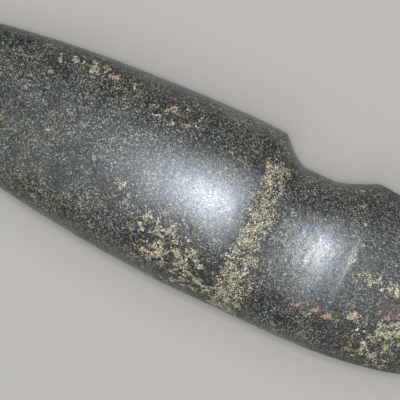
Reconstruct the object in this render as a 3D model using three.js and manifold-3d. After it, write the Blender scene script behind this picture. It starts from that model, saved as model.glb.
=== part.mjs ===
// Head of a three-quarter grooved stone axe: a long polished blade, a haft groove worked
// round one narrow edge and both faces, and a short rounded poll. It is one stone, and it
// lies on one face, with the cutting edge towards -X and the grooved edge towards +Y.
import * as THREE from "three";
import { mergeVertices } from "three/addons/utils/BufferGeometryUtils.js";
import Module from "manifold-3d";

// Millimetres. A station is a distance along the head from the tip of the cutting edge.
const length = 218.7;

// Each profile is the stone's half size at every station, on one side of the long axis. It
// curves from the cutting edge to the widest station, and from pollFrom to the poll's end,
// as (1 - share ** taper) ** (1 / fullness).
const groovedEdge = {
  widest: 31.0,
  widestAt: 121.7,
  blade: { taper: 1.6, fullness: 3.75 },
  pollSize: 28.4,
  pollFrom: 165,
  poll: { taper: 1.85, fullness: 1.85 },
};
const backEdge = {
  widest: 32.6,
  widestAt: 130,
  blade: { taper: 1.78, fullness: 2.43 },
  pollSize: 32.6,
  pollFrom: 135,
  poll: { taper: 2.76, fullness: 2.99 },
};
const face = {
  widest: 25.0,
  widestAt: 116,
  blade: { taper: 1.75, fullness: 1.08 },
  pollSize: 21.6,
  pollFrom: 166,
  poll: { taper: 1.3, fullness: 2.4 },
};
const sectionFullness = 2.3; // 2 would make each cross-section an ellipse

// The groove drops from the blade's shoulder to its foot, and rises again to the poll's
// crest. Its floor is a half size of the stone, and rounding softens both crests.
const groove = {
  edge: { floor: 22.9, shoulder: 131.2, foot: 141, rise: 151.3, crest: 165.1, power: 1.45, rounding: 0.05 },
  face: { floor: 20.2, shoulder: 130.5, foot: 155, rise: 155, crest: 166, power: 1.8, rounding: 0.2 },
  fadeFrom: THREE.MathUtils.degToRad(105), // measured round from the grooved edge
  fadeTo: THREE.MathUtils.degToRad(168),
};

// Small ground flats: how far each one is cut in from the stone's widest there.
const flats = { underside: 0.45, back: 0.35, grooveFloor: 0.25 };
const grooveFlat = { from: 140.6, to: 151.8 };

const around = 60;
const rows = { blade: 30, groove: 30, poll: 14 };
const grooveRun = { from: 122, to: 169 }; // the stations that get close, even rows

function curve(share, shape) {
  return (1 - share ** shape.taper) ** (1 / shape.fullness);
}

function halfSize(station, profile) {
  if (station < profile.widestAt) {
    return profile.widest * curve(1 - station / profile.widestAt, profile.blade);
  }
  if (station > profile.pollFrom) {
    const share = (station - profile.pollFrom) / (length - profile.pollFrom);
    return profile.pollSize * curve(share, profile.poll);
  }
  const share = THREE.MathUtils.smoothstep(station, profile.widestAt, profile.pollFrom);
  return THREE.MathUtils.lerp(profile.widest, profile.pollSize, share);
}

// How much of the groove's full depth one of its two sections has at a station.
function grooveShare(station, cut) {
  const wall = Math.max(0, cut.foot - station) / (cut.foot - cut.shoulder);
  const scoop = Math.max(0, station - cut.rise) / (cut.crest - cut.rise);
  const share = 1 - wall ** cut.power - scoop ** cut.power;
  return (share + Math.hypot(share, cut.rounding)) / 2;
}

// The groove's depth at a station, on the side that lies at an angle from the grooved edge.
function grooveDepth(station, angle) {
  const turned = Math.abs(angle);
  const onFace = turned < Math.PI / 2 ? Math.sin(turned) ** 2 : 1;
  const atEdge = (halfSize(station, groovedEdge) - groove.edge.floor) * grooveShare(station, groove.edge);
  const atFace = (halfSize(station, face) - groove.face.floor) * grooveShare(station, groove.face);
  const kept = 1 - THREE.MathUtils.smoothstep(turned, groove.fadeFrom, groove.fadeTo);
  return Math.max(0, THREE.MathUtils.lerp(atEdge, atFace, onFace) * kept);
}

// A point of the surface. The section is half of one superellipse on the grooved side and
// half of another on the back, drawn in towards the long axis by the groove's depth.
function surfacePoint(station, angle, target) {
  const edge = Math.cos(angle) > 0 ? groovedEdge : backEdge;
  const along = (size, part) => size * Math.sign(part) * Math.abs(part) ** (2 / sectionFullness);
  const y = along(halfSize(station, edge), Math.cos(angle));
  const z = along(halfSize(station, face), Math.sin(angle));
  const reach = Math.hypot(y, z);
  const kept = reach > 0 ? 1 - grooveDepth(station, angle) / reach : 0;
  return target.set(station, y * kept, z * kept);
}

// Stations of the rings, from the tip to the poll's end: the steps shrink towards both ends,
// where the outline turns across the head, and are even along the groove.
function ringStations() {
  const stations = [];
  for (let i = 0; i < rows.blade; i++) {
    stations.push(grooveRun.from * (1 - Math.cos((Math.PI / 2) * (i / rows.blade))));
  }
  for (let i = 0; i < rows.groove; i++) {
    stations.push(THREE.MathUtils.lerp(grooveRun.from, grooveRun.to, i / rows.groove));
  }
  for (let i = 0; i <= rows.poll; i++) {
    stations.push(grooveRun.to + (length - grooveRun.to) * Math.sin((Math.PI / 2) * (i / rows.poll)));
  }
  return stations;
}

// The stone before its flats are ground: a sphere's rings, moved to the axe's stations.
function bodyGeometry() {
  const stations = ringStations();
  const rings = stations.length - 1;
  const sphere = new THREE.SphereGeometry(1, around, rings);
  const { position, uv } = sphere.attributes;
  const point = new THREE.Vector3();
  for (let i = 0; i < position.count; i++) {
    const ring = Math.round((1 - uv.getY(i)) * rings);
    surfacePoint(stations[ring], 2 * Math.PI * (0.5 - uv.getX(i)), point);
    position.setXYZ(i, point.x, point.y, point.z);
  }
  return sphere;
}

const wasm = await Module();
wasm.setup();

function solidOf(geometry) {
  geometry.deleteAttribute("normal");
  geometry.deleteAttribute("uv");
  const merged = mergeVertices(geometry, 1e-4);
  return new wasm.Manifold(
    new wasm.Mesh({
      numProp: 3,
      vertProperties: merged.attributes.position.array,
      triVerts: new Uint32Array(merged.index.array),
    }),
  );
}

function geometryOf(solid) {
  const mesh = solid.getMesh();
  const geometry = new THREE.BufferGeometry();
  geometry.setAttribute("position", new THREE.BufferAttribute(mesh.vertProperties, 3));
  geometry.setIndex(new THREE.BufferAttribute(mesh.triVerts, 1));
  geometry.computeVertexNormals();
  return geometry;
}

// A block between two corners, for grinding a flat.
function block(low, high) {
  const box = new THREE.BoxGeometry(high.x - low.x, high.y - low.y, high.z - low.z);
  box.translate((low.x + high.x) / 2, (low.y + high.y) / 2, (low.z + high.z) / 2);
  return solidOf(box);
}

function axeGeometry() {
  const clear = 50; // how far the blocks reach past the stone
  const undersideZ = -(face.widest - flats.underside);
  const backY = -(backEdge.widest - flats.back);
  const floorY = groove.edge.floor - flats.grooveFloor;
  const underside = block(
    new THREE.Vector3(-clear, -clear, -clear),
    new THREE.Vector3(length + clear, clear, undersideZ),
  );
  const back = block(
    new THREE.Vector3(-clear, -clear, -clear),
    new THREE.Vector3(length + clear, backY, clear),
  );
  const grooveFloor = block(
    new THREE.Vector3(grooveFlat.from, floorY, -clear),
    new THREE.Vector3(grooveFlat.to, clear, clear),
  );
  return geometryOf(solidOf(bodyGeometry()).subtract(underside).subtract(back).subtract(grooveFloor));
}

const stone = new THREE.MeshStandardMaterial({ color: 0x4f554e, roughness: 0.38, metalness: 0 });

const axeHead = new THREE.Mesh(axeGeometry(), stone);
axeHead.name = "axe_head";

// The origin is on the surface that the head lies on, below the middle of its box.
const box = new THREE.Box3().setFromObject(axeHead);
const centre = box.getCenter(new THREE.Vector3());
axeHead.position.set(-centre.x, -centre.y, -box.min.z);

const axe = new THREE.Group();
axe.add(axeHead);

export default axe;
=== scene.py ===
import itertools
import math

import bpy
import numpy as np
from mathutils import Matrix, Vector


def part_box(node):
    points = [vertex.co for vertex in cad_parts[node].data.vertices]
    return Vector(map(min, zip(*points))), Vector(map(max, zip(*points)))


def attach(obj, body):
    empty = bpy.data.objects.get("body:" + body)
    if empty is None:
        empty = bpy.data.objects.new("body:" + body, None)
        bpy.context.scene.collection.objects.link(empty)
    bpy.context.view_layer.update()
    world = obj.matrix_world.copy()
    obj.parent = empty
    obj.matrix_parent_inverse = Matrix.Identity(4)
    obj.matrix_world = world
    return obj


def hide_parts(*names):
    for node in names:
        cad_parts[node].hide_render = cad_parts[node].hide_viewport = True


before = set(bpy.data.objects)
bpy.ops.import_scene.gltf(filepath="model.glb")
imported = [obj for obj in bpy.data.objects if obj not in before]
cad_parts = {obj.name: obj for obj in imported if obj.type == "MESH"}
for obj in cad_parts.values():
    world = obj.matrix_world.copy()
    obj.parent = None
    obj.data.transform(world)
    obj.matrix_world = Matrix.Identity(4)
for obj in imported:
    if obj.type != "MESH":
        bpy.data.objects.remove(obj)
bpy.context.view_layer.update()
mm = 0.001

# The axe head, in millimetres. A station is a distance along it from the tip of its cutting
# edge, and each profile is the stone's half size on one side of the long axis.
low, high = (np.array(corner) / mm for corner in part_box("axe_head"))
axeHead = dict(
    length=high[0] - low[0],
    groovedEdge=dict(
        widest=31.0, widestAt=121.7, blade=(1.6, 3.75),  # (taper, fullness)
        pollSize=28.4, pollFrom=165, poll=(1.85, 1.85),
    ),
    backEdge=dict(
        widest=32.6, widestAt=130, blade=(1.78, 2.43),
        pollSize=32.6, pollFrom=135, poll=(2.76, 2.99),
    ),
    face=dict(
        widest=25.0, widestAt=116, blade=(1.75, 1.08),
        pollSize=21.6, pollFrom=166, poll=(1.3, 2.4),
    ),
    section=2.3,  # 2 would make each cross-section an ellipse
    flats=dict(underside=0.45, back=0.35),  # how far each ground flat is cut in
    groove=dict(
        edge=dict(
            floor=22.9, shoulder=131.2, foot=141, rise=151.3, crest=165.1,
            power=1.45, rounding=0.05,
        ),
        face=dict(
            floor=20.2, shoulder=130.5, foot=155, rise=155, crest=166,
            power=1.8, rounding=0.2,
        ),
        fade=(105, 168),  # degrees round from the grooved edge
        wander=0.8, wanderSize=14,  # how far its crests stray along the head
    ),
    wear=dict(
        hollows=0.10, hollowSize=22,  # where the grinding went a little deeper
        ripples=0.04, rippleSize=7,
        pecking=0.16, peckSize=2.1,  # pits left by the hammerstone
        finePecking=0.10, finePeckSize=1.1,
        batter=0.25, batterSize=3.0, batterRun=(200, 214),  # the poll's end
        nicks=0.9, nickSize=5.0, nickReach=5.0,  # and the cutting edge
    ),
    # the stations over which the rougher finish of the groove and of the poll comes in, how
    # much of the poll's pecking the blade and the groove show, and how much polish is lost
    grooveRun=(134, 144), pollRun=(161, 170),
    pecked=dict(blade=0.15, groove=0.6),
    dulled=dict(tan=0.55, groove=0.04, poll=0.75),
    rings=440, around=220,  # of the mesh
)


def ease(share):
    # 3t^2 - 2t^3, held to 0 and 1 outside
    share = np.clip(share, 0, 1)
    return share * share * (3 - 2 * share)


def easeBetween(value, start, end):
    # the same, from 0 where the value is start to 1 where it is end
    return ease((value - start) / (end - start))


def halfSize(station, profile):
    # widest * (1 - t^taper)^(1/fullness), where t runs from 0 at the widest station to 1 at
    # the cutting edge; the same with the poll's own values behind it; eased between the two
    def run(share, shape):
        taper, fullness = shape
        return (1 - np.clip(share, 0, 1) ** taper) ** (1 / fullness)

    blade = profile["widest"] * run(1 - station / profile["widestAt"], profile["blade"])
    behind = (station - profile["pollFrom"]) / (axeHead["length"] - profile["pollFrom"])
    poll = profile["pollSize"] * run(behind, profile["poll"])
    share = easeBetween(station, profile["widestAt"], profile["pollFrom"])
    middle = profile["widest"] * (1 - share) + poll * share
    return np.where(station < profile["widestAt"], blade, middle)


def grooveShare(station, cut):
    # 1 - wall^power - scoop^power, softened at 0 by (x + sqrt(x^2 + rounding^2)) / 2
    wall = np.maximum(0, cut["foot"] - station) / (cut["foot"] - cut["shoulder"])
    scoop = np.maximum(0, station - cut["rise"]) / (cut["crest"] - cut["rise"])
    share = 1 - wall ** cut["power"] - scoop ** cut["power"]
    return (share + np.hypot(share, cut["rounding"])) / 2


def grooveDepth(station, angle):
    # the edge's depth where the angle is 0 and the face's from a quarter turn on, mixed by
    # sin^2 between them, and faded out towards the back edge
    def depth(profile, cut):
        return (halfSize(station, axeHead[profile]) - cut["floor"]) * grooveShare(station, cut)

    groove = axeHead["groove"]
    turned = np.abs(angle)
    onFace = np.where(turned < math.pi / 2, np.sin(turned) ** 2, 1)
    whole = depth("groovedEdge", groove["edge"]) * (1 - onFace) + depth("face", groove["face"]) * onFace
    start, end = (math.radians(limit) for limit in groove["fade"])
    return np.maximum(0, whole * (1 - easeBetween(turned, start, end)))


def stonePoint(station, angle, strayed):
    # y = size * |cos|^(2/section), z = size * |sin|^(2/section), each with its sign, drawn
    # towards the long axis by the groove's depth at the strayed station
    def along(size, part):
        return size * np.sign(part) * np.abs(part) ** (2 / axeHead["section"])

    grooved, back = (halfSize(station, axeHead[name]) for name in ("groovedEdge", "backEdge"))
    y = along(np.where(np.cos(angle) > 0, grooved, back), np.cos(angle))
    z = along(halfSize(station, axeHead["face"]), np.sin(angle))
    kept = 1 - grooveDepth(strayed, angle) / np.maximum(np.hypot(y, z), 1e-9)
    return np.stack([station + 0 * y, y * kept, z * kept], axis=-1)


def ringStations(count):
    # stations at even steps of arc length along the mean profile, so that the rings crowd
    # together where the stone turns across its ends
    samples = 4000
    fine = axeHead["length"] * (1 - np.cos(np.linspace(0, math.pi, samples))) / 2
    size = sum(halfSize(fine, axeHead[name]) for name in ("groovedEdge", "backEdge", "face")) / 3
    arc = np.concatenate([[0], np.cumsum(np.hypot(np.diff(fine), np.diff(size)))])
    return np.interp(np.linspace(0, arc[-1], count + 1), arc, fine)


def cellNumber(cell, seed):
    # an even random number from 0 to 1 for each whole-numbered cell, by mixing its bits
    x, y, z = (cell[..., k].astype(np.int64) for k in range(3))
    mixed = (x * 73856093) ^ (y * 19349663) ^ (z * 83492791) ^ (seed * 2654435761)
    for factor in (1274126177, 2246822519):
        mixed = mixed & 0xFFFFFFFF
        mixed = (mixed ^ (mixed >> 15)) * factor
    mixed = mixed & 0xFFFFFFFF
    return (mixed ^ (mixed >> 14)) / 0xFFFFFFFF


def softNoise(points, size, seed):
    # random numbers on a lattice of that size, eased between its corners, from -1 to 1
    scaled = points / size
    cell = np.floor(scaled).astype(np.int64)
    share = ease(scaled - cell)
    total = 0
    for corner in itertools.product((0, 1), repeat=3):
        weight = np.prod(np.where(corner, share, 1 - share), axis=-1)
        total = total + weight * cellNumber(cell + np.array(corner), seed)
    return 2 * total - 1


def pitField(points, size, seed):
    # each lattice cell has one pit at a random place: 1 - (distance / width)^2, at least 0,
    # times the pit's own random strength, and the deepest of the 27 nearest is kept
    width = 0.6  # in cells
    scaled = points / size
    cell = np.floor(scaled).astype(np.int64)
    deepest = np.zeros(points.shape[:-1])
    for step in itertools.product((-1, 0, 1), repeat=3):
        near = cell + np.array(step)
        place = near + np.stack([cellNumber(near, seed + k) for k in range(3)], axis=-1)
        strength = cellNumber(near, seed + 3)
        distance = np.linalg.norm(scaled - place, axis=-1)
        deepest = np.maximum(deepest, strength * (1 - (distance / width) ** 2))
    return deepest


# What colours the upper face: patches of four kinds, and a band down the groove's shoulder.
# The two tan patches on the back edge's rim are partly tan crystals and partly painted glints.
# Each patch has its station and its distance across from the long axis towards the grooved
# edge, its reach along and across, its turn in degrees and its strength.
stains = dict(
    tan={
        "beside the grooved edge": (62, 22, 10, 3.2, 3, 0.85),
        "along the grooved edge": (75, 23, 11, 2.2, 5, 0.65),
        "above the middle": (96, 20, 8, 4.5, 0, 0.65),
        "orange flecks": (104, 27.3, 4, 1.6, 0, 0.7),
        "pale spot": (89.8, -9.8, 4, 4, 0, 0.75),
        "small pale spot": (100, -12.4, 2, 2, 0, 0.85),
        "coarse low patch": (111, -20.5, 13, 8, -32, 1.0),
        "low end of the coarse patch": (124, -28, 6, 3, -20, 0.85),
        "poll freckles": (183, -23.5, 12, 6, -10, 0.78),
        "poll stripe": (177, -2.5, 9, 3, 0, 0.8),
        "below the poll stripe": (188, -14, 7, 5.5, 0, 0.95),
        "crest by the edge": (162, 22, 4, 5, 0, 0.6),
        "crest": (166.5, 3, 2.5, 14, 0, 0.55),
        "between the crest and the freckles": (175.3, -15.5, 2.6, 2.2, -30, 0.95),
        "under the groove's rust": (160.5, -19, 9, 2.6, 4, 0.7),
        "under the poll's rust": (186, -8, 8, 4, 18, 0.75),
        "faint spot on the blade": (58.8, -5.5, 3, 3, 0, 0.5),
        "faint near the cutting edge": (31, 12, 6, 8, 0, 0.35),
        # painted glints: pale tan flecks on the back edge's rim, partly tan crystals and partly glints
        # painted in
        "tan flecks and painted glints beside the back edge": (57, -26, 4, 1.3, -8, 0.6),
        "tan flecks and painted glints along the back edge": (88, -29.5, 6, 1.3, -4, 0.55),
        "inside the green spot": (121, 15.6, 2.4, 1.7, 0, 0.95),
    },
    rust={
        "poll": (187, -8, 8, 3.2, 18, 1.0),
        "groove's far wall": (160.5, -18, 9, 2.2, 4, 0.9),
        "poll spot": (171.7, 16, 1.6, 1.6, 0, 1.0),
        "pink spot": (144.6, -6.6, 2, 1.5, 0, 0.6),
        "edge smear": (79, 26.5, 7, 2.4, 5, 0.5),
        "smear beside the shoulder": (119, 22, 7, 2.6, 0, 0.5),
    },
    olive={
        "blade": (54, -14, 26, 12, 0, 1.0),
        "green spot": (121, 15.6, 2.8, 2.0, 0, 0.9),
    },
    scratched={"beside the shoulder": (110, 28, 13, 1.6, 0, 1.0)},
    band=dict(
        start=128.5, end=137.5, soft=6.0,  # the stations of its sides, and how soft they are
        spread=4.0,  # how much wider it is at the back edge
        reach=(24, -31),  # from the grooved edge's side to the back edge's
        fade=6,  # how softly it ends at the grooved edge's side
        stray=(1.5, 1.0),  # how far its outline strays, broadly and finely
        strength=1.1, underneath=0.6,  # and what it keeps of it on the underside
    ),
    raggedSizes=(5, 2.2),  # of the noise in the outlines
    mottleSizes=(13, 5),  # and in the plain mottling where there are no patches
    placedFrom=(16, 26), placedTo=(190, 200),  # the stations that the patches are placed on
    rim=6,  # how softly they end where the upper face turns under
)


def patchField(points, patches, ragged):
    # the greatest of strength * ease(1.6 - distance), where distance is 1 on each patch's own
    # ellipse, plus ragged times the noise that roughens its outline
    station, across = points[..., 0], points[..., 1]
    broad, fine = stains["raggedSizes"]
    edge = ragged * (softNoise(points, broad, 11) + 0.6 * softNoise(points, fine, 12))
    field = np.zeros(points.shape[:-1])
    for atStation, atAcross, reachAlong, reachAcross, turn, strength in patches.values():
        cos, sin = math.cos(math.radians(turn)), math.sin(math.radians(turn))
        along, over = station - atStation, across - atAcross
        first = (along * cos + over * sin) / reachAlong
        second = (over * cos - along * sin) / reachAcross
        distance = np.hypot(first, second) + edge
        field = np.maximum(field, strength * ease(1.6 - distance))
    return field


def bandField(points):
    # 1 on the groove's blade-side wall, eased to 0 on both sides of it and past its near end,
    # with noise added to the station, and wider towards the back edge
    band = stains["band"]
    station, across = points[..., 0], points[..., 1]
    (broad, fine), (broadStray, fineStray) = stains["raggedSizes"], band["stray"]
    strayed = station + broadStray * softNoise(points, broad, 21)
    strayed = strayed + fineStray * softNoise(points, fine, 22)
    near, far = band["reach"]
    start = ease((strayed - band["start"]) / band["soft"] + 0.5)
    end = band["end"] + band["spread"] * ease((near - across) / (near - far))
    past = ease((strayed - end) / band["soft"] + 0.5)
    return start * (1 - past) * ease((near - across) / band["fade"])


def plainField(points, seed):
    # mottling for what the patches leave out, the underside, the cutting edge and the poll's
    # end: soft noise of two sizes, the finer at half strength, eased from 0.15 to 0.85
    broad, fine = stains["mottleSizes"]
    mottle = softNoise(points, broad, seed) + 0.5 * softNoise(points, fine, seed + 1)
    return easeBetween(mottle, 0.15, 0.85)


def colourFields(points):
    # the patches where the upper face is worked out in full, and plain mottling elsewhere;
    # each finish is the greatest of what the tan stain, the groove and the poll ask for
    station = points[..., 0]
    upper = ease(points[..., 2] / stains["rim"] + 0.5)
    ended = easeBetween(station, *stains["placedTo"])
    seen = upper * easeBetween(station, *stains["placedFrom"]) * (1 - ended)

    def placed(kind, ragged, plain, seed):
        hidden = plain * plainField(points, seed) * (1 - seen)
        return np.maximum(patchField(points, stains[kind], ragged) * seen, hidden)

    # the tan patches, with the painted glints on the back edge's rim among them
    lumps = placed("tan", ragged=0.35, plain=0.5, seed=41)
    wall = bandField(points)
    band = stains["band"]["strength"] * wall * np.maximum(upper, stains["band"]["underneath"])
    tan = np.maximum(lumps, band)
    grooved = easeBetween(station, *axeHead["grooveRun"])
    poll = easeBetween(station, *axeHead["pollRun"])
    pecked, dulled = axeHead["pecked"], axeHead["dulled"]
    peckedBlade = pecked["blade"] + (1 - pecked["blade"]) * tan
    dulledEnd = np.maximum(dulled["groove"] * grooved, dulled["poll"] * poll)
    return dict(
        tan=tan,
        rust=placed("rust", ragged=0.35, plain=0.5, seed=51),
        olive=placed("olive", ragged=0.2, plain=0.5, seed=61),
        scratched=placed("scratched", ragged=0.2, plain=0.15, seed=65),
        coarse=np.maximum(ease(3 * (lumps - band)), 0.5 * wall),
        dull=np.maximum(dulled["tan"] * tan, dulledEnd),
        pecked=np.maximum(peckedBlade, np.maximum(pecked["groove"] * grooved, poll)),
    )


def relief(points, pecked):
    # hand-ground hollows, pecking where the polish is worn or was never finished, a battered
    # poll and a nicked edge: each is its depth in millimetres times its noise or its pits,
    # and all of it is cut inwards
    wear = axeHead["wear"]
    station = points[..., 0]
    depth = wear["hollows"] * (1 + softNoise(points, wear["hollowSize"], 71))
    depth += wear["ripples"] * (1 + softNoise(points, wear["rippleSize"], 72))
    depth += pecked * wear["pecking"] * pitField(points, wear["peckSize"], 81)
    depth += pecked * wear["finePecking"] * pitField(points, wear["finePeckSize"], 85)
    battered = easeBetween(station, *wear["batterRun"])
    depth += battered * wear["batter"] * pitField(points, wear["batterSize"], 91)
    nicked = 1 - ease(station / wear["nickReach"])
    return depth + nicked * wear["nicks"] * pitField(points, wear["nickSize"], 95) ** 2


def surfaceNormals(points):
    # the cross product of the steps round and along the grid, made one long, pointing out of
    # the stone; the two poles point along the head
    along = np.gradient(points, axis=0)
    around = np.roll(points, -1, axis=1) - np.roll(points, 1, axis=1)
    normals = np.cross(around, along)
    normals /= np.maximum(np.linalg.norm(normals, axis=-1, keepdims=True), 1e-12)
    normals[0], normals[-1] = (-1, 0, 0), (1, 0, 0)
    return normals


def gridMesh(name, points, fields):
    # rings of quads between two poles, each pole a fan of triangles, and every face's corners
    # anticlockwise from outside; the map unrolls the grid, along the head on one axis and
    # round it on the other
    rings, around = points.shape[0] - 2, points.shape[1]
    last = 1 + rings * around
    ring, turn = np.meshgrid(np.arange(rings - 1), np.arange(around), indexing="ij")
    each = np.arange(around)

    def onMap(share):
        # from 0 to 1, inside a margin round the map
        margin = 0.01
        return margin + (1 - 2 * margin) * share

    def corner(ringIndex, turnIndex):
        # (vertex, u, v) of a grid corner
        vertex = 1 + ringIndex * around + turnIndex % around
        u = onMap((ringIndex + 1) / (rings + 1)) + 0 * turnIndex
        v = onMap(turnIndex / around) + 0 * ringIndex
        return np.stack([vertex, u, v], axis=-1)

    def pole(vertex, u):
        return np.stack([0 * each + vertex, 0 * each + u, onMap((each + 0.5) / around)], axis=-1)

    quads = np.stack([
        corner(ring, turn), corner(ring, turn + 1), corner(ring + 1, turn + 1), corner(ring + 1, turn),
    ], axis=2).reshape(-1, 4, 3)
    tipFan = np.stack([pole(0, onMap(0)), corner(0, each + 1), corner(0, each)], axis=1)
    pollFan = np.stack([
        pole(last, onMap(1)), corner(rings - 1, each), corner(rings - 1, each + 1),
    ], axis=1)

    vertices = np.concatenate([points[0, :1], points[1:-1].reshape(-1, 3), points[-1, :1]])
    faces = [part[..., 0].astype(int).tolist() for part in (quads, tipFan, pollFan)]
    data = bpy.data.meshes.new(name)
    data.from_pydata(vertices.tolist(), [], faces[0] + faces[1] + faces[2])
    for fieldName, field in fields.items():
        values = np.concatenate([field[0, :1], field[1:-1].ravel(), field[-1, :1]])
        layer = data.attributes.new(fieldName, "FLOAT", "POINT")
        layer.data.foreach_set("value", values.astype(np.float32))
    places = np.concatenate([part[..., 1:].reshape(-1, 2) for part in (quads, tipFan, pollFan)])
    layer = data.uv_layers.new(name="OFBake")
    layer.data.foreach_set("uv", places.ravel().astype(np.float32))
    data.shade_smooth()
    obj = bpy.data.objects.new(name, data)
    bpy.context.scene.collection.objects.link(obj)
    return obj


def buildStone():
    # the stone's points over its stations and turns, cut flat behind and underneath, lowered
    # along their normals by the relief, and moved to where the axe head lies
    turns = 2 * math.pi * np.arange(axeHead["around"]) / axeHead["around"] - math.pi
    station, angle = np.meshgrid(ringStations(axeHead["rings"]), turns, indexing="ij")
    plain = stonePoint(station, angle, station)
    groove = axeHead["groove"]
    strayed = station + groove["wander"] * softNoise(plain, groove["wanderSize"], 307)
    points = stonePoint(station, angle, strayed)

    backY = axeHead["flats"]["back"] - axeHead["backEdge"]["widest"]
    undersideZ = axeHead["flats"]["underside"] - axeHead["face"]["widest"]
    points[..., 1] = np.maximum(points[..., 1], backY)
    points[..., 2] = np.maximum(points[..., 2], undersideZ)

    fields = colourFields(points)
    points -= surfaceNormals(points) * relief(points, fields["pecked"])[..., None]
    points += (low[0], low[1] - backY, low[2] - undersideZ)
    obj = gridMesh("axe_head_stone", points * mm, fields)
    print("stone:", len(obj.data.polygons), "faces")
    return obj


class Wire:
    # a socket that carries a number: arithmetic on it adds Math nodes
    def __init__(self, graph, socket):
        self.graph = graph
        self.socket = socket

    def math(self, operation, *values):
        return self.graph.node("ShaderNodeMath", dict(operation=operation), dict(enumerate(values)))

    def __add__(self, other):
        return self.math("ADD", self, other)

    def __sub__(self, other):
        return self.math("SUBTRACT", self, other)

    def __rsub__(self, other):
        return self.math("SUBTRACT", other, self)

    def __mul__(self, other):
        return self.math("MULTIPLY", self, other)

    def clamped(self):
        # held between 0 and 1
        return self.math("MINIMUM", self.math("MAXIMUM", self, 0), 1)

    def eased(self, start, end):
        # 0 at start, 1 at end, smooth between
        values = {"Value": self, "From Min": start, "From Max": end}
        return self.graph.node("ShaderNodeMapRange", dict(interpolation_type="SMOOTHSTEP"), values)

    __radd__ = __add__
    __rmul__ = __mul__


class Graph:
    # a material's node tree, to which calls add nodes
    def __init__(self, name):
        self.material = bpy.data.materials.new(name)
        self.material.use_nodes = True
        self.tree = self.material.node_tree
        self.tree.nodes.clear()

    def node(self, kind, settings=None, inputs=None, output=0):
        # settings first, then the sockets by name or place; gives the wire of one output
        made = self.tree.nodes.new(kind)
        for name, value in (settings or {}).items():
            if name == "stops":
                self.setStops(made.color_ramp, value)
            else:
                setattr(made, name, value)
        for name, value in (inputs or {}).items():
            socket = self.find(made.inputs, name)
            if isinstance(value, Wire):
                self.tree.links.new(value.socket, socket)
            else:
                socket.default_value = value
        if made.outputs:
            return Wire(self, self.find(made.outputs, output))

    def find(self, sockets, name):
        # the enabled socket of that name, or at that place
        shown = [socket for socket in sockets if socket.enabled]
        return shown[name] if isinstance(name, int) else next(s for s in shown if s.name == name)

    def setStops(self, ramp, stops):
        while len(ramp.elements) < len(stops):
            ramp.elements.new(1)
        for element, (place, colour) in zip(ramp.elements, stops):
            element.position = place
            element.color = (*colour, 1)

    def mix(self, factor, first, second, blend="MIX"):
        colours = [value if isinstance(value, Wire) else (*value, 1) for value in (first, second)]
        settings = dict(data_type="RGBA", blend_type=blend)
        return self.node("ShaderNodeMix", settings, {"Factor": factor, "A": colours[0], "B": colours[1]})

    def ramp(self, factor, stops):
        return self.node("ShaderNodeValToRGB", dict(stops=stops), {"Fac": factor})

    def attribute(self, name):
        return self.node("ShaderNodeAttribute", dict(attribute_name=name), output="Fac")

    def vector(self, operation, *values):
        return self.node("ShaderNodeVectorMath", dict(operation=operation), dict(enumerate(values)))

    def finish(self, inputs):
        shader = self.node("ShaderNodeBsdfPrincipled", {}, inputs)
        self.node("ShaderNodeOutputMaterial", {}, {"Surface": shader})
        return self.material


greenstone = dict(
    grain=0.235,  # millimetres across a fine crystal
    middleGrain=0.6,
    coarseGrain=1.3,
    # millimetres across the slow noises: the mosaic's mottle, the drift of its casts, and the
    # blotches and crumbs that break up the patches
    mottleSize=8,
    driftSize=4.5,
    blotchSize=2.8,
    crumbSize=1.2,
    # the mosaic from its darkest crystals to its palest, as (place, grey)
    mosaic=((0.38, 0.002), (0.53, 0.006), (0.66, 0.048), (0.82, 0.145), (0.94, 0.35)),
    # casts that drift across it, from green through olive to brown
    casts=(
        (0.36, (0.85, 1.04, 0.83)),
        (0.46, (0.95, 1.00, 0.86)),
        (0.54, (0.98, 1.03, 0.76)),
        (0.66, (1.08, 1.00, 0.73)),
    ),
    oliveCast=(0.95, 0.95, 0.73),
    # the tan crystals from their dimmest to their palest, and the casts that drift across them
    tan=(
        (0.10, (0.030, 0.029, 0.022)),
        (0.45, (0.185, 0.172, 0.125)),
        (0.72, (0.430, 0.410, 0.335)),
        (0.90, (0.830, 0.815, 0.720)),
    ),
    tanCasts=(
        (0.36, (1.08, 0.92, 0.80)),
        (0.46, (1.00, 0.97, 0.92)),
        (0.56, (0.97, 1.00, 0.84)),
        (0.66, (1.05, 0.97, 0.84)),
    ),
    tanPull=0.62,  # how strongly a full patch pulls its crystals towards tan
    tanEdge=(-0.03, 0.22),  # how suddenly a crystal turns
    gapCast=(0.88, 0.74, 0.52),  # of the dark crystals between the tan ones
    rustCast=(1.05, 0.93, 0.88),
    rustStain=(0.130, 0.085, 0.064),
    fleck=(0.27, 0.28, 0.23),
    fleckFrom=(0.987, 0.995),  # only the coarse crystals whose random number is past this
    scratch=(0.20, 0.20, 0.185),
    scratchFrom=(0.60, 0.65),  # where the streaked noise is past this
    scratchScale=2.4,  # streaks to a millimetre across
    scratchStretch=20,  # and how much longer they are along the head
    polish=0.37,  # roughness where it is polished
    dull=0.64,  # and where it is pecked or battered
    glint=0.12,  # how much that varies from crystal to crystal
    ior=1.73,  # of the polished face
    highlight=(0.66, 0.785, 0.985),  # the tint of what it reflects
    sheen=(0.03, 0.36),  # of the handling polish on top, on its dimmest and brightest crystals
    sheenRoughness=0.26,
    bump=0.055,  # millimetres that a bump height of 1 stands for
)


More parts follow.
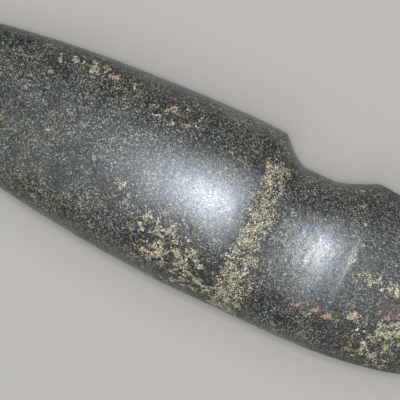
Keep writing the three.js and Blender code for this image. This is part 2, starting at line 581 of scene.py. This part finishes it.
def greenstoneMaterial():
    # crystals are Voronoi cells with a random shade each, in three sizes; slow noise gives
    # them their casts, and the patches choose how many of them are tan
    look = greenstone
    graph = Graph("greenstone")
    place = graph.node("ShaderNodeTexCoord", output="Object")
    inMillimetres = {"Vector": place, "Scale": 1 / mm}
    place = graph.node("ShaderNodeVectorMath", dict(operation="SCALE"), inMillimetres)

    def noise(size, detail=2.0, output="Fac"):
        values = {"Vector": place, "Scale": 1 / size, "Detail": detail}
        return graph.node("ShaderNodeTexNoise", {}, values, output)

    def crystals(size):
        # each cell's two random numbers; the cells' outlines are bent by noise, so that no
        # two crystals look alike
        bend = graph.vector("MULTIPLY", noise(size * 1.3, 1.0, "Color"), (size * 1.1,) * 3)
        cells = {"Vector": graph.vector("ADD", place, bend), "Scale": 1 / size}
        shade = {"Color": graph.node("ShaderNodeTexVoronoi", {}, cells, "Color")}
        return [graph.node("ShaderNodeSeparateColor", {}, shade, name) for name in ("Red", "Green")]

    fine, fineKind = crystals(look["grain"])
    middle, middleKind = crystals(look["middleGrain"])
    large, largeKind = crystals(look["coarseGrain"])
    mottle, drift = noise(look["mottleSize"], 3.0), noise(look["driftSize"])
    blotch, crumb = noise(look["blotchSize"]), noise(look["crumbSize"])
    stretched = graph.vector("MULTIPLY", place, (1 / look["scratchStretch"], 1, 1))
    streaked = {"Vector": stretched, "Scale": look["scratchScale"], "Detail": 1}
    streaks = graph.node("ShaderNodeTexNoise", {}, streaked)

    def tinted(colour, cast):
        # each of the colour's channels times the cast's
        return graph.mix(1.0, colour, cast, "MULTIPLY")

    def patch(name, start, end):
        # a patch's field, broken up by noise, from 0 outside to 1 inside
        return (graph.attribute(name) + (blotch - 0.5) * 1.5 + (crumb - 0.5) * 1.0).eased(start, end)

    # the tan field also carries the painted glints on the back edge's rim
    tan, rust = patch("tan", start=0.2, end=1.2), patch("rust", start=0.25, end=1.0)
    coarse = (graph.attribute("coarse") + (blotch - 0.5) * 0.8).clamped()

    # the dark mosaic and its casts, the olive areas, the flecks and the scratches
    tone = fine * 0.80 + middle * 0.20 + (mottle - 0.5) * 0.35 + (crumb - 0.5) * 0.25
    greys = [(at, (grey,) * 3) for at, grey in look["mosaic"]]
    base = tinted(graph.ramp(tone, greys), graph.ramp(drift, look["casts"]))
    base = graph.mix(graph.attribute("olive"), base, tinted(base, look["oliveCast"]))
    fleck = largeKind.eased(*look["fleckFrom"]) * (0.05 + fine * 0.95)
    base = graph.mix(fleck, base, look["fleck"])
    scratch = streaks.eased(*look["scratchFrom"]) * graph.attribute("scratched")
    base = graph.mix(scratch, base, look["scratch"])

    # tan crystals: more of them are picked as the patch gets stronger, and in its coarse
    # parts they come in lumps; the crystals left between them darken
    pick = fine * 0.75 + middle * 0.25
    pick = pick + (large * 0.40 + middle * 0.25 + fine * 0.35 - pick) * coarse
    pulled = tan * look["tanPull"] + pick + (blotch - 0.5) * coarse * 0.8 - 1.0
    crystal = pulled.eased(*look["tanEdge"])
    paleness = fineKind * 0.5 + middleKind * 0.3 + fine * 0.3 - 0.05
    tanColour = tinted(graph.ramp(paleness, look["tan"]), graph.ramp(blotch, look["tanCasts"]))
    gap = graph.mix(graph.attribute("tan"), base, tinted(base, look["gapCast"]))
    colour = graph.mix(crystal, gap, tanColour)

    # rust warms everything, and stains some crystals more than others
    colour = graph.mix(rust, colour, tinted(colour, look["rustCast"]))
    stained = rust * (0.03 + middleKind * 0.2 + fineKind * 0.25)
    colour = graph.mix(stained, colour, look["rustStain"])

    dull = graph.attribute("dull")
    roughness = (look["dull"] - look["polish"]) * dull + (middle - 0.5) * look["glint"] + look["polish"]
    dimmest, brightest = look["sheen"]
    sheen = (dimmest + fine * (brightest - dimmest)) * (1.0 - dull)
    height = (fine * 0.5 + crumb * 0.6 + middle * 0.4) * (0.5 + graph.attribute("pecked") * 0.9)
    return graph.finish({
        "Base Color": colour,
        "Roughness": roughness,
        "IOR": look["ior"],
        "Specular Tint": (*look["highlight"], 1),
        "Coat Weight": sheen,
        "Coat Roughness": look["sheenRoughness"],
        "Normal": graph.node("ShaderNodeBump", {}, {"Distance": look["bump"] * mm, "Height": height}),
    })


studio = dict(
    floorColour=(0.31, 0.31, 0.305),
    floorRoughness=0.8,
    floorSize=4.0,
    world=(0.92, 0.95, 1.0),
    worldStrength=0.18,
    # the strip lies across the head over the key, and stretches its highlight that way
    lights=dict(
        key=dict(power=5.0, size=(0.16, 0.16), place=(0.02, 0.013, 0.80), colour=(1.0, 0.96, 0.90)),
        strip=dict(power=4.6, size=(0.14, 1.0), place=(0.02, 0.013, 0.80), colour=(1.0, 0.96, 0.90)),
        fill=dict(power=2.8, size=(1.2, 1.2), place=(-0.9, -0.9, 0.9), colour=(1, 1, 1)),
    ),
    # the camera looks straight down at one point of the head
    view=dict(
        station=113.8, across=-1.9,  # that point's place, in the head's millimetres
        turn=25,  # degrees that the head slopes down to the right
        distance=0.65,
        width=0.1333,  # metres across the picture at the height of the long axis
    ),
)


def addLight(name, power, size, place, colour, aim):
    # an oval light turned to face its aim, of that size along X and along Y where it faces
    # straight down
    data = bpy.data.lights.new(name, "AREA")
    data.shape = "ELLIPSE"
    data.energy = power
    data.size, data.size_y = size
    data.color = colour
    obj = bpy.data.objects.new(name, data)
    obj.location = place
    x, y, z = aim - np.array(place)
    obj.rotation_euler = (math.atan2(math.hypot(x, y), -z), 0, math.atan2(-x, y))
    bpy.context.scene.collection.objects.link(obj)


def buildStudio():
    # a pale floor, three lights and the camera; the key and the strip face straight down, and
    # the fill faces the stone
    view = studio["view"]
    axisY = low[1] + axeHead["backEdge"]["widest"] - axeHead["flats"]["back"]
    axisZ = low[2] + axeHead["face"]["widest"] - axeHead["flats"]["underside"]
    aim = np.array([low[0] + view["station"], axisY + view["across"], axisZ]) * mm

    size = studio["floorSize"] / 2
    data = bpy.data.meshes.new("floor")
    corners = [(-size, -size, 0), (size, -size, 0), (size, size, 0), (-size, size, 0)]
    data.from_pydata(corners, [], [(0, 1, 2, 3)])
    floor = bpy.data.objects.new("floor", data)
    bpy.context.scene.collection.objects.link(floor)
    paleFloor = {"Base Color": (*studio["floorColour"], 1), "Roughness": studio["floorRoughness"]}
    data.materials.append(Graph("pale_floor").finish(paleFloor))

    world = bpy.data.worlds.new("studio")
    world.use_nodes = True
    background = world.node_tree.nodes["Background"]
    background.inputs["Color"].default_value = (*studio["world"], 1)
    background.inputs["Strength"].default_value = studio["worldStrength"]
    bpy.context.scene.world = world
    for name, light in studio["lights"].items():
        below = np.array(light["place"]) - (0, 0, 1)
        addLight(name, aim=aim if name == "fill" else below, **light)

    data = bpy.data.cameras.new("camera")
    data.lens = data.sensor_width * view["distance"] / view["width"]
    camera = bpy.data.objects.new("camera", data)
    camera.location = aim + (0, 0, view["distance"])
    camera.rotation_euler = (0, 0, math.radians(view["turn"]))
    bpy.context.scene.collection.objects.link(camera)
    bpy.context.scene.camera = camera
    bpy.context.scene.view_settings.view_transform = "Standard"
    print("studio: floor, lights and camera")


buildStudio()
stone = buildStone()
stone.data.materials.append(greenstoneMaterial())
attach(stone, "root")
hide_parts("axe_head")
print("greenstone: material on", stone.name)
